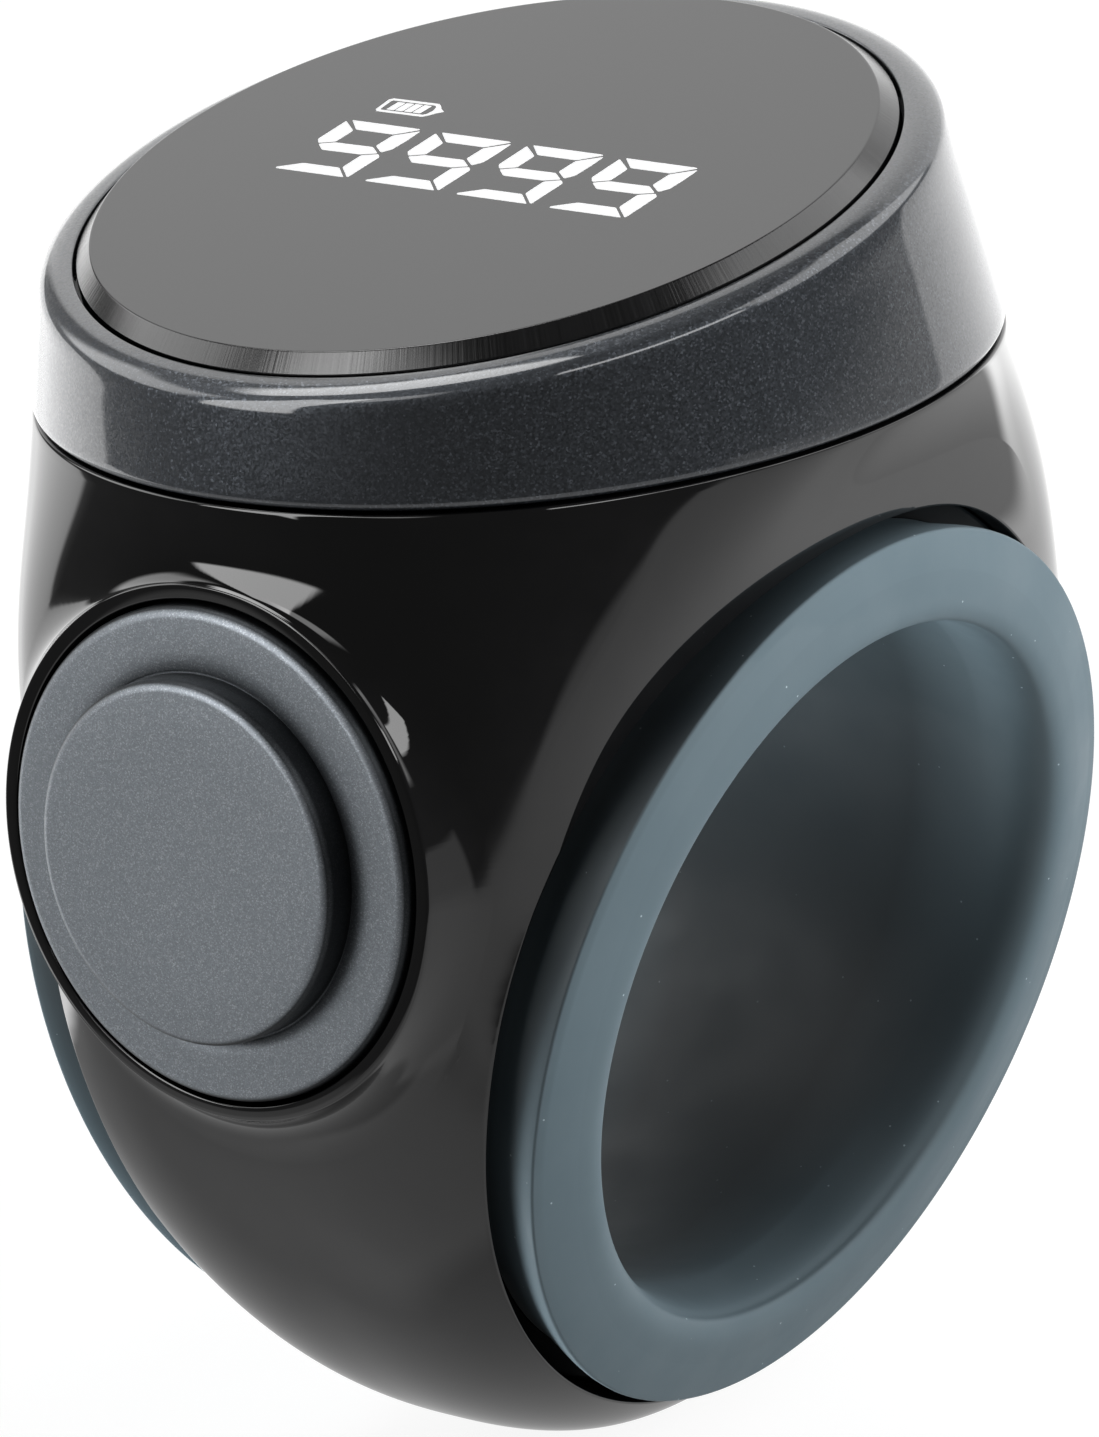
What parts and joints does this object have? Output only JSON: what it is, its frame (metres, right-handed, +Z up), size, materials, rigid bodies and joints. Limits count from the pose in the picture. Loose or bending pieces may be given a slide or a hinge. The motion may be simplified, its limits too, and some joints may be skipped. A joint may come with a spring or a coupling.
{
  "type": "digital finger tally counter",
  "caption": "Ring-shaped electronic tally counter: tilted round display on a barrel body, silicone finger sleeve and one thumb button.",
  "frame": {"origin": "bottom centre of the whole counter, standing upright on the small flat land under the finger hole", "axes": "+X along the finger hole, -Y towards the thumb button, +Z up through the display"},
  "size_m": [0.0238, 0.028, 0.0341],
  "materials": {
    "body_shell": "moulded shell, high-gloss piano black",
    "bezel": "pearlescent gunmetal lacquer with fine flakes under a clear coat",
    "cover_glass": "smoked cover lens, polished face and ground bevel",
    "finger_sleeve": "slate blue-grey silicone, satin with fine dust",
    "button_cap": "satin gunmetal metallic lacquer with sparkle",
    "steel_small": "bright small steel parts",
    "black_inner": "dark inner moulding",
    "board": "green solder mask",
    "polyimide": "amber polyimide ribbon",
    "gasket": "black elastomer and foam",
    "chip_black": "moulded chip package",
    "chip_tan": "ceramic component body",
    "battery_foil": "silver laminated foil pouch",
    "gilt": "gold-plated contact"
  },
  "bodies": {
    "housing": {"body_shell": "body_shell", "bezel": "bezel", "cover_glass": "cover_glass", "finger_sleeve": "finger_sleeve", "tact_switch": "steel_small", "switch_board": "board", "flex_cable": "polyimide", "bezel_gasket": "gasket", "glass_adhesive": "gasket", "diffuser_film": "black_inner", "display_module": "black_inner", "display_holder": "black_inner", "main_board": "board", "controller_chip": "chip_black", "charge_chip": "chip_black", "clock_crystal": "steel_small", "bulk_capacitor": "chip_tan", "board_screw_right": "steel_small", "board_screw_left": "steel_small", "battery_cell": "battery_foil", "battery_pad": "gasket", "battery_tab_right": "steel_small", "battery_tab_left": "steel_small", "charge_pin_right": "gilt", "charge_pin_left": "gilt", "contact_block": "black_inner"},
    "button": {"button_cap": "button_cap", "button_clip": "steel_small", "switch_stem": "black_inner"}
  },
  "joints": [
    {"name": "button_press", "type": "slide", "parent": "housing", "child": "button", "axis": [0, 0.9947, -0.103], "range_m": [0, 0.0003], "stiffness_N_per_m": 5000}
  ]
}
